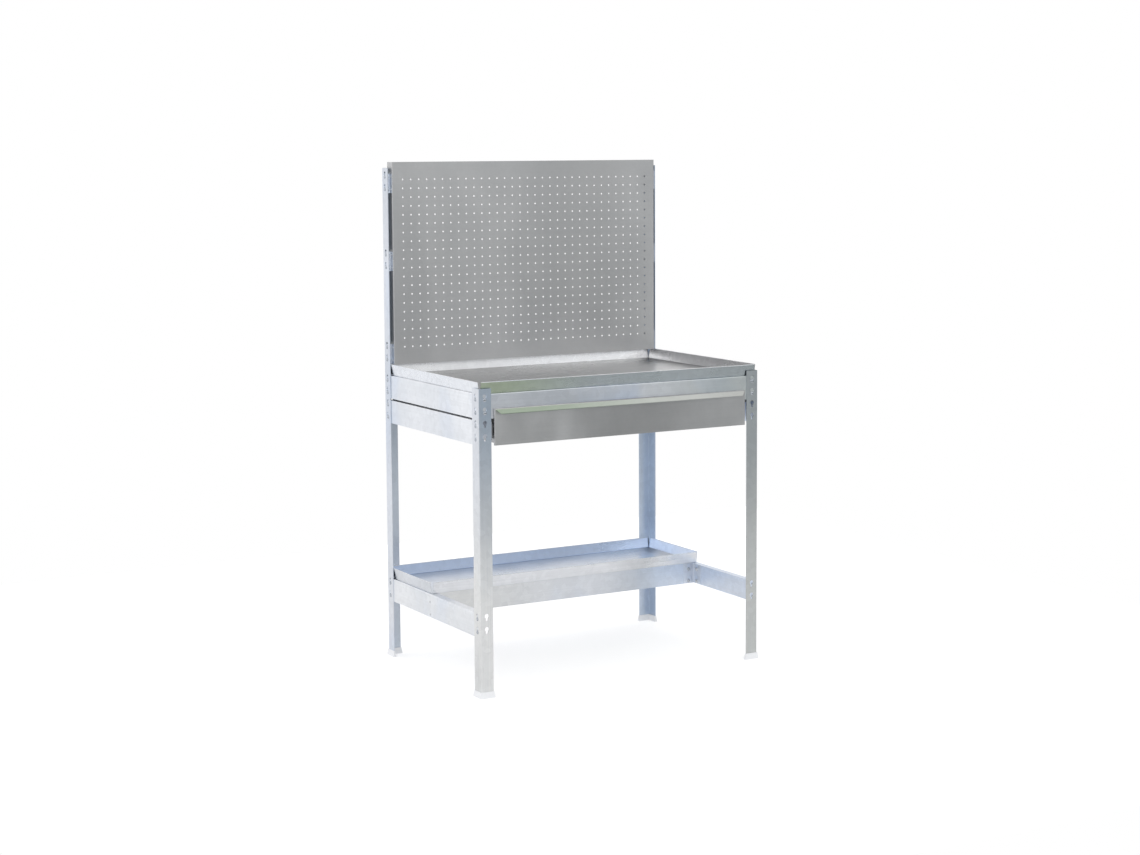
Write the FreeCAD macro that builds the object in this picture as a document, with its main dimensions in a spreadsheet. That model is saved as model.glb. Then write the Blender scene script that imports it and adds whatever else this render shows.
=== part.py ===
import FreeCAD
import Part
import Sketcher
import os
import re

# Potting bench in galvanised sheet: angle posts with keyhole studs, two trays,
# a perforated tool panel and one drawer on ball bearing slides.
# Millimetres, +X right, +Y rear, +Z up, origin on the floor under the middle of the bench.

DIMS = {
    # whole bench
    "bench_width": 900, "bench_depth": 600, "bench_shift": 6.1,
    "front_post_top": 845, "rear_post_top": 1428,
    # posts and foot caps
    "post_leg": 38, "post_sheet": 1.8, "post_bend": 3, "post_inner_bend": 1.2,
    "cap_floor": 3, "cap_height": 18, "cap_skirt": 4.2, "cap_taper": -8.2, "cap_fit": 0.15,
    # keyholes and studs
    "key_inset": 19, "key_head_radius": 6, "key_slot_radius": 3.2, "key_rise": 10,
    "lug_pitch": 36, "lug_drop": 15.5, "stud_hole_radius": 3.05, "stud_radius": 3,
    "stud_head_radius": 5.25, "stud_head_height": 1.7, "stud_tail_radius": 4.5,
    "bolt_head_radius": 5.5, "bolt_head_height": 3, "bolt_tip": 1.4, "bracket_drop": 23,
    # beams
    "beam_height": 67, "beam_sheet": 1.5, "beam_flange": 22, "beam_bend": 2.5,
    "beam_inner_bend": 1, "beam_notch": 23, "beam_notch_drop": 2.6, "beam_end_gap": 0.5,
    "upper_beam_top": 830, "drawer_beam_top": 758, "lower_beam_top": 232,
    "middle_beam_front": 36, "bracket_gap": 2, "bracket_height": 64,
    # trays
    "tray_sheet": 1.2, "tray_lip": 32, "tray_flare": 4.3, "tray_notch": 2, "tray_stub": 3,
    "tray_slant": 1, "tray_bend": 2, "tray_inner_bend": 0.8, "tray_width": 887,
    "worktop_depth": 587, "lower_tray_depth": 280, "lower_tray_centre": 153.5,
    "hat_half": 21.2, "hat_foot": 35, "hat_height": 25, "hat_place": 220, "hat_length": 540,
    # tool panel
    "panel_width": 880, "panel_height": 583, "panel_base": 862, "panel_front": 253,
    "panel_sheet": 1.2, "panel_return": 32, "panel_hem": 15, "panel_stub": 3,
    "peg_radius": 2.5, "peg_pitch": 25.4, "peg_first": 50.2, "panel_bend": 2,
    "panel_inner_bend": 0.8, "panel_slot_low": 4, "panel_slot_high": 18,
    "panel_top_lug": 1402, "panel_middle_lug": 1178, "panel_bottom_lug": 910,
    "joggle_sheet": 1.5, "joggle_front": 254, "joggle_step": 270, "joggle_rear": 296,
    "joggle_above": 10, "joggle_height": 56, "rivet_row": 261, "rivet_radius": 2,
    "rivet_hole_radius": 2.05, "rivet_head_radius": 3.5, "rivet_head_height": 0.9,
    # drawer
    "front_half": 404, "front_height": 100, "front_base": 690, "front_face": 304.4,
    "front_sheet": 1.2, "front_return": 5.5, "front_flange": 24, "front_bend": 2,
    "front_inner_bend": 0.8, "pull_reach": 12, "pull_drop": 1.7, "pull_mitre": 14,
    "box_half": 396.3, "box_depth": 508.8, "box_height": 58, "box_base": 694,
    "box_sheet": 1, "box_bend": 1.5, "box_stub": 3, "box_inner_bend": 0.5,
    "screw_radius": 2, "screw_hole_radius": 2.05,
    "screw_head_radius": 3.5, "screw_head_height": 2, "front_screw_place": 388,
    "front_screw_low": 708, "front_screw_high": 738, "front_screw_length": 3.5,
    # slides, measured from the carrier plate towards the drawer
    "slide_wall": 409, "slide_level": 731, "slide_start": 295, "slide_length": 500,
    "outer_gauge": 1.2, "outer_half": 22.7, "outer_toe": 9.5,
    "middle_web": 2.6, "middle_half": 16.7, "middle_toe": 11, "middle_length": 480,
    "inner_web": 12.7, "inner_half": 10.7, "inner_toe": 5.5,
    "outer_cage_web": 1.6, "outer_cage_toe": 8, "outer_cage_half": 19.4,
    "inner_cage_web": 4.3, "inner_cage_toe": 10.5, "inner_cage_half": 13.4,
    "cage_gauge": 0.6, "cage_length": 200, "cage_start": 155, "cage_hole_radius": 2.45,
    "ball_radius": 2.38, "ball_pitch": 24, "ball_margin": 16,
    "outer_ball_line": 6, "inner_ball_line": 7.5, "slide_fixing_pitch": 200,
    "slide_fixing_first": 50,
    # slide carriers and bumpers
    "carrier_sheet": 1.5, "carrier_base": 706, "carrier_reach": 31, "carrier_front": 293,
    "carrier_length": 500, "carrier_rivet_place": 433, "tab_inner": 401, "tab_base": 754.5,
    "tab_top": 765, "tab_length": 13, "bumper_radius": 4, "bumper_neck_radius": 2,
    "bumper_place": 406, "bumper_level": 758, "bumper_length": 5.4, "bumper_neck": 3.2,
}
CARRIER_RIVETS = [-240, -90, 60, 190]
BALLS_PER_RACE = 8
PEG_COLUMNS = 33
PEG_ROWS = 20

doc = FreeCAD.newDocument("potting_bench")
sheet = doc.addObject("Spreadsheet::Sheet", "Dims")
for row, (alias, number) in enumerate(DIMS.items(), 1):
    sheet.set("A%d" % row, alias)
    sheet.set("B%d" % row, str(number))
    sheet.setAlias("B%d" % row, alias)
doc.recompute()

nodes = []


def linked(text):
    """Turn bare dimension names into references to the sheet."""
    return re.sub(r"[a-z]\w*", lambda name: "Dims." + name.group(), text)


def value(text):
    return float(sheet.evalExpression(text))


def bind(item, name, text):
    item.setExpression(name, linked(text))


def body(label, x="0", y="0", z="0", turn=0):
    """Start a node's body; its placement follows the sheet."""
    item = doc.addObject("PartDesign::Body", label)
    item.Label = label
    item.Placement = FreeCAD.Placement(
        FreeCAD.Vector(0, 0, 0), FreeCAD.Rotation(FreeCAD.Vector(0, 0, 1), turn))
    bind(item, "Placement.Base.x", x)
    bind(item, "Placement.Base.y", "bench_shift + (%s)" % y)
    bind(item, "Placement.Base.z", z)
    nodes.append(item)
    return item


def sketch_on(item, role, name, lift="0"):
    """Add a sketch on one of the body's own origin planes."""
    sketch = item.newObject("Sketcher::SketchObject", name)
    plane = [f for f in item.Origin.OriginFeatures if f.Role == role][0]
    sketch.AttachmentSupport = (plane, [""])
    sketch.MapMode = "FlatFace"
    bind(sketch, "AttachmentOffset.Base.z", lift)
    return sketch


def hold(sketch, index, vertex, x, y):
    """Tie a sketch point to the origin with two dimensions."""
    for kind, text in (("DistanceX", x), ("DistanceY", y)):
        rule = Sketcher.Constraint(kind, -1, 1, index, vertex, value(text))
        number = sketch.addConstraint(rule)
        bind(sketch, "Constraints[%d]" % number, text)


def outline(sketch, points):
    """Draw a closed polygon through (x, y) expressions."""
    at = [FreeCAD.Vector(value(x), value(y), 0) for x, y in points]
    first = sketch.GeometryCount
    count = len(at)
    for k in range(count):
        sketch.addGeometry(Part.LineSegment(at[k], at[(k + 1) % count]), False)
    for k in range(count):
        after = first + (k + 1) % count
        sketch.addConstraint(Sketcher.Constraint("Coincident", first + k, 2, after, 1))
        hold(sketch, first + k, 1, *points[k])


def box_outline(sketch, x0, x1, y0, y1):
    outline(sketch, [(x0, y0), (x1, y0), (x1, y1), (x0, y1)])


def circle(sketch, x, y, radius):
    centre = FreeCAD.Vector(value(x), value(y), 0)
    ring = Part.Circle(centre, FreeCAD.Vector(0, 0, 1), value(radius))
    index = sketch.addGeometry(ring, False)
    hold(sketch, index, 3, x, y)
    number = sketch.addConstraint(Sketcher.Constraint("Radius", index, value(radius)))
    bind(sketch, "Constraints[%d]" % number, radius)


def keyhole(sketch, x, y):
    """Round entry above a narrow slot; (x, y) is where a stud comes to rest."""
    slot = value("key_slot_radius")
    head = value("key_head_radius")
    low = FreeCAD.Vector(value(x), value(y), 0)
    high = low + FreeCAD.Vector(0, value("key_rise"), 0)
    meet = high.y - (head ** 2 - slot ** 2) ** 0.5
    left_top = FreeCAD.Vector(low.x - slot, meet, 0)
    right_top = FreeCAD.Vector(low.x + slot, meet, 0)
    left_low = FreeCAD.Vector(low.x - slot, low.y, 0)
    right_low = FreeCAD.Vector(low.x + slot, low.y, 0)
    entry = Part.Arc(right_top, high + FreeCAD.Vector(0, head, 0), left_top)
    rest = Part.Arc(left_low, low - FreeCAD.Vector(0, slot, 0), right_low)
    first = sketch.addGeometry(entry, False)
    sketch.addGeometry(Part.LineSegment(left_top, left_low), False)
    sketch.addGeometry(rest, False)
    sketch.addGeometry(Part.LineSegment(right_low, right_top), False)
    for k in range(4):
        after = first + (k + 1) % 4
        sketch.addConstraint(Sketcher.Constraint("Coincident", first + k, 2, after, 1))
    sketch.addConstraint(Sketcher.Constraint("Vertical", first + 1))
    sketch.addConstraint(Sketcher.Constraint("Vertical", first + 3))
    hold(sketch, first, 3, x, "%s + key_rise" % y)
    hold(sketch, first + 2, 3, x, y)
    for index, radius in ((first, "key_head_radius"), (first + 2, "key_slot_radius")):
        number = sketch.addConstraint(Sketcher.Constraint("Radius", index, value(radius)))
        bind(sketch, "Constraints[%d]" % number, radius)


def pad(item, sketch, length, side="One side", flip=False, taper=None):
    feature = item.newObject("PartDesign::Pad", sketch.Name + "_pad")
    feature.Profile = sketch
    feature.SideType = side
    feature.Reversed = flip
    bind(feature, "Length", length)
    if taper:
        bind(feature, "TaperAngle", taper)
    doc.recompute()
    return feature


def cut(item, sketch, depth=None, flip=False):
    """Pocket through everything, or to a given depth."""
    before = item.Shape.Volume
    feature = item.newObject("PartDesign::Pocket", sketch.Name + "_cut")
    feature.Profile = sketch
    feature.Reversed = flip
    if depth:
        bind(feature, "Length", depth)
    else:
        feature.Type = "ThroughAll"
        feature.SideType = "Symmetric"
    doc.recompute()
    if item.Shape.Volume >= before - 1e-6:
        raise RuntimeError("cut removed nothing: " + item.Label)
    return feature


def fold(item, name, points, radius):
    """Round the edges that run through the given points (local coordinates)."""
    names = []
    for x, y, z in points:
        spot = Part.Vertex(value(x), value(y), value(z))
        for number, edge in enumerate(item.Tip.Shape.Edges, 1):
            if edge.distToShape(spot)[0] < 1e-5:
                names.append("Edge%d" % number)
    if len(names) != len(points):
        raise RuntimeError("edges not found for %s: %s" % (name, names))
    base = item.Tip
    feature = item.newObject("PartDesign::Fillet", name)
    feature.Base = (base, names)
    bind(feature, "Radius", radius)
    doc.recompute()
    return feature


def lug_pairs(*tops):
    """Each beam end hangs on two studs, one pitch apart."""
    return [text for top in tops for text in (top, "%s - lug_pitch" % top)]


def angle(label, x, y, turn, base, height, lugs_x, lugs_y):
    """Folded angle with its outer corner on the origin and keyholes in both legs."""
    item = body(label, x, y, "0", turn)
    section = sketch_on(item, "XY_Plane", label + "_section", base)
    outline(section, [
        ("0", "0"), ("post_leg", "0"), ("post_leg", "post_sheet"),
        ("post_sheet", "post_sheet"), ("post_sheet", "post_leg"), ("0", "post_leg")])
    pad(item, section, height)
    middle = "%s + (%s) / 2" % (base, height)
    fold(item, label + "_outer_fold", [("0", "0", middle)], "post_bend")
    fold(item, label + "_inner_fold", [("post_sheet", "post_sheet", middle)],
         "post_inner_bend")
    for role, lugs in (("XZ_Plane", lugs_x), ("YZ_Plane", lugs_y)):
        holes = sketch_on(item, role, label + "_keys_" + role[:2].lower())
        for lug in lugs:
            keyhole(holes, "key_inset", lug)
        cut(item, holes)


def posts():
    upper = "upper_beam_top - lug_drop"
    drawer = "drawer_beam_top - lug_drop"
    lower = "lower_beam_top - lug_drop"
    common = lug_pairs(upper, drawer, lower)
    panel = lug_pairs("panel_top_lug", "panel_middle_lug", "panel_bottom_lug")
    x, y = "bench_width / 2", "bench_depth / 2"
    front = "front_post_top - cap_floor"
    rear = "rear_post_top - cap_floor"
    angle("front_left_post", "-" + x, "-" + y, 0, "cap_floor", front, common, common)
    angle("front_right_post", x, "-" + y, 90, "cap_floor", front, common, common)
    angle("rear_right_post", x, y, 180, "cap_floor", rear, common, common + panel)
    angle("rear_left_post", "-" + x, y, 270, "cap_floor", rear, common + panel, common)


def cap(label, x, y, turn):
    """Plastic shoe that follows the angle and spreads towards the floor."""
    item = body(label, x, y, "0", turn)
    skirt = sketch_on(item, "XY_Plane", label + "_skirt")
    low, tip = "-cap_skirt", "post_leg + cap_skirt"
    inner = "post_sheet + cap_skirt"
    outline(skirt, [(low, low), (tip, low), (tip, inner), (inner, inner),
                    (inner, tip), (low, tip)])
    pad(item, skirt, "cap_height", taper="cap_taper")
    socket = sketch_on(item, "XY_Plane", label + "_socket", "cap_floor")
    low, tip = "-cap_fit", "post_leg + cap_fit"
    inner = "post_sheet + cap_fit"
    outline(socket, [(low, low), (tip, low), (tip, inner), (inner, inner),
                     (inner, tip), (low, tip)])
    cut(item, socket, "cap_height", flip=True)


def caps():
    x, y = "bench_width / 2", "bench_depth / 2"
    cap("front_left_cap", "-" + x, "-" + y, 0)
    cap("front_right_cap", x, "-" + y, 90)
    cap("rear_right_cap", x, y, 180)
    cap("rear_left_cap", "-" + x, y, 270)


def beam(label, length, reach, x, y, z, turn, notched=False, bolts=(), rivets=()):
    """Flanged beam along X: web facing -Y, flange turned back at the top."""
    item = body(label, x, y, z, turn)
    section = sketch_on(item, "YZ_Plane", label + "_section")
    outline(section, [
        ("0", "-beam_height"), ("beam_sheet", "-beam_height"),
        ("beam_sheet", "-beam_sheet"), ("beam_flange", "-beam_sheet"),
        ("beam_flange", "0"), ("0", "0")])
    pad(item, section, length, "Symmetric")
    fold(item, label + "_outer_fold", [("0", "0", "0")], "beam_bend")
    fold(item, label + "_inner_fold", [("0", "beam_sheet", "-beam_sheet")],
         "beam_inner_bend")
    if notched:
        notch = sketch_on(item, "XZ_Plane", label + "_notch")
        for sign in ("-1", "1"):
            box_outline(notch, "%s * ((%s) / 2 - beam_notch)" % (sign, length),
                        "%s * ((%s) / 2 + 1)" % (sign, length), "-beam_notch_drop", "1")
        cut(item, notch)
    holes = sketch_on(item, "XZ_Plane", label + "_holes")
    drop = "bracket_drop" if label == "lower_middle_beam" else "lug_drop"
    for sign in ("-1", "1"):
        for level in (drop, drop + " + lug_pitch"):
            circle(holes, "%s * (%s)" % (sign, reach), "-(%s)" % level, "stud_hole_radius")
    for place in bolts:
        for level in ("bracket_drop", "bracket_drop + lug_pitch"):
            circle(holes, place, "-(%s)" % level, "stud_hole_radius")
    cut(item, holes)
    if rivets:
        row = sketch_on(item, "XY_Plane", label + "_rivet_holes")
        inset = "bench_width / 2 - post_sheet - carrier_rivet_place"
        for place in rivets:
            circle(row, str(place), inset, "rivet_hole_radius")
        cut(item, row)


def beams():
    half_x = "bench_width / 2 - post_sheet"
    half_y = "bench_depth / 2 - post_sheet"
    cross = "bench_width - 2 * (post_sheet + beam_sheet + beam_end_gap)"
    side = "bench_depth - 2 * (post_sheet + post_inner_bend + 0.2)"
    cross_reach = "bench_width / 2 - key_inset"
    side_reach = "bench_depth / 2 - key_inset"
    bolt = "middle_beam_front - key_inset"
    for name, level in (("upper", "upper_beam_top"), ("drawer", "drawer_beam_top"),
                        ("lower", "lower_beam_top")):
        bolts = {"lower": 1}.get(name, 0)
        rivets = CARRIER_RIVETS if name == "drawer" else []
        beam("left_%s_beam" % name, side, side_reach, "-(%s)" % half_x, "0", level, -90,
             True, ["-(%s)" % bolt] * bolts, [-place for place in rivets])
        beam("right_%s_beam" % name, side, side_reach, half_x, "0", level, 90,
             True, [bolt] * bolts, rivets)
        if name != "drawer":
            beam("rear_%s_beam" % name, cross, cross_reach, "0", half_y, level, 180)
    beam("front_upper_beam", cross, cross_reach, "0", "-(%s)" % half_y,
         "upper_beam_top", 0)
    beam("lower_middle_beam", cross, half_x + " - beam_sheet - key_inset", "0",
         "middle_beam_front", "lower_beam_top", 0, True)


def cross_brackets():
    x = "bench_width / 2 - post_sheet - beam_sheet"
    base = "lower_beam_top - bracket_gap - bracket_height"
    lugs = lug_pairs("lower_beam_top - bracket_drop")
    angle("left_cross_bracket", "-(%s)" % x, "middle_beam_front", 270, base,
          "bracket_height", lugs, lugs)
    angle("right_cross_bracket", x, "middle_beam_front", 180, base,
          "bracket_height", lugs, lugs)


def lip_outline(sketch, half, sign):
    """Section of one flared lip with the strip of floor it grows from."""
    points = [
        ("%s - tray_stub" % half, "0"), (half, "0"), ("%s + tray_flare" % half, "tray_lip"),
        ("%s + tray_flare - tray_sheet" % half, "tray_lip"),
        ("%s - tray_sheet + tray_flare * tray_sheet / tray_lip" % half, "tray_sheet"),
        ("%s - tray_stub" % half, "tray_sheet")]
    outline(sketch, [("%s * (%s)" % (sign, x), y) for x, y in points])


def tray(label, depth, y, z):
    """Sheet tray with four flared lips and open corners."""
    item = body(label, "0", y, z)
    half_x, half_y = "tray_width / 2", "%s / 2" % depth
    floor = sketch_on(item, "XY_Plane", label + "_floor")
    box_outline(floor, "-(%s - tray_stub)" % half_x, "%s - tray_stub" % half_x,
                "-(%s - tray_stub)" % half_y, "%s - tray_stub" % half_y)
    pad(item, floor, "tray_sheet")
    pairs = (("XZ_Plane", "side_lips", half_x, half_y, depth),
             ("YZ_Plane", "end_lips", half_y, half_x, "tray_width"))
    for role, name, half, other, length in pairs:
        lips = sketch_on(item, role, "%s_%s" % (label, name))
        for sign in ("-1", "1"):
            lip_outline(lips, half, sign)
        pad(item, lips, "%s - 2 * tray_notch" % length, "Symmetric")
    inner = "tray_sheet - tray_flare * tray_sheet / tray_lip"
    for name, inset, level, radius in (("outer", "0", "0", "tray_bend"),
                                       ("inner", inner, "tray_sheet", "tray_inner_bend")):
        spots = []
        for sign in ("-1", "1"):
            spots.append(("%s * (%s - (%s))" % (sign, half_x, inset), "0", level))
            spots.append(("0", "%s * (%s - (%s))" % (sign, half_y, inset), level))
        fold(item, "%s_%s_fold" % (label, name), spots, radius)
    for role, name, half in (("YZ_Plane", "side_ends", half_y),
                             ("XZ_Plane", "end_ends", half_x)):
        ends = sketch_on(item, role, "%s_%s" % (label, name))
        for sign in ("-1", "1"):
            root = "%s - tray_notch" % half
            outline(ends, [
                ("%s * (%s)" % (sign, root), "tray_sheet + tray_bend"),
                ("%s * (%s + 1)" % (sign, root), "tray_lip + 1"),
                ("%s * (%s - tray_slant)" % (sign, root), "tray_lip + 1")])
        cut(item, ends)


def stiffeners():
    """Two open hats under the worktop."""
    item = body("worktop_stiffeners", "0", "0", "upper_beam_top")
    hats = sketch_on(item, "XZ_Plane", "hats")
    half = [("hat_foot", "0"), ("hat_foot", "-tray_sheet"), ("hat_half", "-tray_sheet"),
            ("hat_half", "-hat_height")]
    back = [("hat_half - tray_sheet", "tray_sheet - hat_height"),
            ("hat_half - tray_sheet", "0")]
    right = back[::-1]
    for sign in ("-1", "1"):
        centre = "%s * hat_place" % sign
        ring = [("%s + (%s)" % (centre, x), z) for x, z in half]
        ring += [("%s - (%s)" % (centre, x), z) for x, z in half[::-1]]
        ring += [("%s - (%s)" % (centre, x), z) for x, z in right]
        ring += [("%s + (%s)" % (centre, x), z) for x, z in back]
        outline(hats, ring)
    pad(item, hats, "hat_length", "Symmetric")


def tool_panel():
    """Flat perforated face; its folded edges and hems are pieces of their own."""
    item = body("tool_panel", "0", "panel_front", "panel_base")
    face = sketch_on(item, "XZ_Plane", "panel_face")
    half = "(panel_width / 2 - panel_stub)"
    box_outline(face, "-" + half, half, "0", "panel_height")
    pitch = value("peg_pitch")
    rings = []
    for column in range(PEG_COLUMNS):
        for line in range(PEG_ROWS):
            at = FreeCAD.Vector((column - (PEG_COLUMNS - 1) / 2) * pitch,
                                value("peg_first") + line * pitch, 0)
            rings.append(Part.Circle(at, FreeCAD.Vector(0, 0, 1), value("peg_radius")))
    face.addGeometry(rings, False)
    pad(item, face, "panel_sheet", flip=True)
    for label, low in (("panel_bottom_hem", "0"),
                       ("panel_top_hem", "panel_height - panel_sheet")):
        hem = body(label, "0", "panel_front + panel_sheet", "panel_base")
        strip = sketch_on(hem, "XZ_Plane", label + "_strip")
        box_outline(strip, "-" + half, half, low, low + " + panel_sheet")
        pad(hem, strip, "panel_hem - panel_sheet", flip=True)


def folded_edge(item, plane, sign, half, stub, sheet_size, reach, length, bends):
    """Angle that carries a sheet round a corner: a short stub and a return."""
    section = sketch_on(item, plane, item.Label + "_section")
    inner = "%s - %s" % (half, sheet_size)
    ring = [("%s - %s" % (half, stub), "0"), (half, "0"), (half, reach), (inner, reach),
            (inner, sheet_size), ("%s - %s" % (half, stub), sheet_size)]
    outline(section, [("%s * (%s)" % (sign, x), y) for x, y in ring])
    pad(item, section, length, flip=(plane == "XZ_Plane"))
    for name, x, y, radius in (("outer", half, "0", bends[0]),
                               ("inner", inner, sheet_size, bends[1])):
        across = "%s * (%s)" % (sign, x)
        along = "%s / 2" % length
        spot = (across, along, y) if plane == "XZ_Plane" else (across, y, along)
        fold(item, "%s_%s_fold" % (item.Label, name), [spot], radius)


def panel_edges():
    for side, sign in (("left", "-1"), ("right", "1")):
        item = body(side + "_panel_edge", "0", "panel_front", "panel_base")
        folded_edge(item, "XY_Plane", sign, "panel_width / 2", "panel_stub", "panel_sheet",
                    "panel_return", "panel_height", ("panel_bend", "panel_inner_bend"))
        holes = sketch_on(item, "YZ_Plane", side + "_panel_edge_holes")
        row = "rivet_row - panel_front"
        for lug in lug_pairs("panel_top_lug", "panel_middle_lug", "panel_bottom_lug"):
            circle(holes, row, "%s - panel_base" % lug, "rivet_hole_radius")
        box_outline(holes, "panel_hem + 2", "panel_hem + 8", "panel_slot_low",
                    "panel_slot_high")
        cut(item, holes)


def panel_brackets(label, sign):
    """Three stepped brackets between a rear post and the panel's side edge."""
    item = body(label, "0", "0", "0")
    outer = "bench_width / 2 - post_sheet"
    inner = "panel_width / 2"
    ring = [
        (outer, "joggle_rear"), (outer + " - joggle_sheet", "joggle_rear"),
        (outer + " - joggle_sheet", "joggle_step"), (inner, "joggle_step"),
        (inner, "joggle_front"), (inner + " + joggle_sheet", "joggle_front"),
        (inner + " + joggle_sheet", "joggle_step - joggle_sheet"),
        (outer, "joggle_step - joggle_sheet")]
    lugs = ("panel_top_lug", "panel_middle_lug", "panel_bottom_lug")
    for lug in lugs:
        section = sketch_on(item, "XY_Plane", "%s_%s" % (label, lug),
                            "%s + joggle_above - joggle_height" % lug)
        outline(section, [("%s * (%s)" % (sign, x), y) for x, y in ring])
        pad(item, section, "joggle_height")
    holes = sketch_on(item, "YZ_Plane", label + "_holes")
    for level in lug_pairs(*lugs):
        circle(holes, "bench_depth / 2 - key_inset", level, "stud_hole_radius")
        circle(holes, "rivet_row", level, "rivet_hole_radius")
    cut(item, holes)


def drawer_front():
    """Pan-shaped drawer front with a pull lip folded forward along its top."""
    item = body("drawer_front", "0", "-front_face", "front_base")
    plan = sketch_on(item, "XY_Plane", "front_plan")
    sheet_x = "front_half - front_sheet"
    right = [
        ("front_half", "0"), ("front_half", "front_return"),
        ("front_half - front_flange", "front_return"),
        ("front_half - front_flange", "front_return - front_sheet"),
        (sheet_x, "front_return - front_sheet"), (sheet_x, "front_sheet")]
    left = [("-(%s)" % x, y) for x, y in right[::-1]]
    outline(plan, right + left)
    pad(item, plan, "front_height")
    middle = "front_height / 2"
    fold(item, "front_outer_fold",
         [("-front_half", "0", middle), ("front_half", "0", middle)], "front_bend")
    fold(item, "front_inner_fold",
         [("-(%s)" % sheet_x, "front_sheet", middle), (sheet_x, "front_sheet", middle)],
         "front_inner_bend")
    hem = sketch_on(item, "XZ_Plane", "front_hem")
    inset = "%s - front_inner_bend" % sheet_x
    for low in ("0", "front_height - front_sheet"):
        box_outline(hem, "-(%s)" % inset, inset, low, low + " + front_sheet")
    pad(item, hem, "front_return - front_sheet", flip=True)
    lip = sketch_on(item, "YZ_Plane", "pull_lip")
    top = "front_height"
    tip = "front_height - front_sheet - pull_reach"
    outline(lip, [
        ("front_sheet", top), ("-pull_reach", tip), ("-pull_reach", tip + " - pull_drop"),
        ("0", top + " - front_sheet - pull_drop"),
        ("front_sheet", top + " - front_sheet - pull_drop")])
    pad(item, lip, "2 * (front_half - front_bend)", "Symmetric")
    mitre = sketch_on(item, "XY_Plane", "pull_mitres")
    for sign in ("-1", "1"):
        outline(mitre, [
            (sign + " * (front_half - front_bend)", "0"), (sign + " * (front_half + 1)", "0"),
            (sign + " * (front_half + 1)", "-pull_reach - 1"),
            (sign + " * (front_half - front_bend - pull_mitre)", "-pull_reach - 1")])
    cut(item, mitre)
    holes = sketch_on(item, "XZ_Plane", "front_screw_holes", "-front_return")
    for sign in ("-1", "1"):
        for level in ("front_screw_low", "front_screw_high"):
            circle(holes, sign + " * front_screw_place", level + " - front_base",
                   "screw_hole_radius")
    cut(item, holes, "2 * front_sheet", flip=True)


def drawer_box():
    """Open sheet box behind the drawer front: floor, folded walls, front and back."""
    rear = "front_return - front_face"
    floor = body("drawer_floor", "0", rear, "box_base")
    plate = sketch_on(floor, "XY_Plane", "floor_plate")
    half = "(box_half - box_stub)"
    box_outline(plate, "-" + half, half, "box_sheet", "box_depth - box_sheet")
    pad(floor, plate, "box_sheet")
    for side, sign in (("left", "-1"), ("right", "1")):
        wall = body("drawer_%s_wall" % side, "0", rear + " + box_sheet", "box_base")
        folded_edge(wall, "XZ_Plane", sign, "box_half", "box_stub", "box_sheet",
                    "box_height", "(box_depth - 2 * box_sheet)", ("box_bend", "box_inner_bend"))
        holes = sketch_on(wall, "YZ_Plane", side + "_wall_holes")
        for k in range(3):
            circle(holes, "front_face - front_return - box_sheet - slide_start"
                   " + slide_fixing_first + %d * slide_fixing_pitch" % k, "slide_level - box_base",
                   "screw_hole_radius")
        cut(wall, holes)
    for label, place in (("drawer_inner_front", "0"),
                         ("drawer_back_wall", "box_depth - box_sheet")):
        item = body(label, "0", "%s + %s" % (rear, place), "box_base")
        plate = sketch_on(item, "XZ_Plane", label + "_plate")
        box_outline(plate, "-box_half", "box_half", "0", "box_height")
        if label == "drawer_inner_front":
            for sign in ("-1", "1"):
                for level in ("front_screw_low", "front_screw_high"):
                    circle(plate, sign + " * front_screw_place", level + " - box_base",
                           "screw_hole_radius")
        pad(item, plate, "box_sheet", flip=True)


def channel(label, sign, web, toe, half, gauge, start, length):
    """Slide member or cage: a channel along Y, measured from the carrier plate."""
    item = body(label, "%s * slide_wall" % sign, "-" + start, "slide_level")
    inward = "1" if value(toe) > value(web) else "-1"
    ring = [
        (web, "-" + half), (toe, "-" + half), (toe, "%s - %s" % (gauge, half)),
        ("%s + %s * %s" % (web, inward, gauge), "%s - %s" % (gauge, half))]
    ring += [(x, "-(%s)" % z) for x, z in ring[::-1]]
    section = sketch_on(item, "XZ_Plane", label + "_section")
    outline(section, [("-(%s) * (%s)" % (sign, x), z) for x, z in ring])
    pad(item, section, length, flip=True)
    return item


def slides():
    for side, sign in (("left", "-1"), ("right", "1")):
        outer = channel(side + "_slide_outer", sign, "0", "outer_toe", "outer_half",
                        "outer_gauge", "slide_start", "slide_length")
        channel(side + "_slide_middle", sign, "middle_web", "middle_toe", "middle_half",
                "outer_gauge", "slide_start", "middle_length")
        inner = channel(side + "_slide_inner", sign, "inner_web", "inner_toe",
                        "inner_half", "outer_gauge", "slide_start", "slide_length")
        for item in (outer, inner):
            holes = sketch_on(item, "YZ_Plane", item.Label + "_holes")
            for k in range(3):
                circle(holes, "slide_fixing_first + %d * slide_fixing_pitch" % k, "0",
                       "screw_hole_radius")
            cut(item, holes)
        for kind in ("outer", "inner"):
            cage = channel("%s_%s_cage" % (side, kind), sign, kind + "_cage_web",
                           kind + "_cage_toe", kind + "_cage_half", "cage_gauge",
                           "cage_start", "cage_length")
            holes = sketch_on(cage, "XY_Plane", cage.Label + "_holes")
            for k in range(BALLS_PER_RACE):
                circle(holes, "-(%s) * %s_ball_line" % (sign, kind),
                       "ball_margin + %d * ball_pitch" % k, "cage_hole_radius")
            cut(cage, holes)


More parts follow.
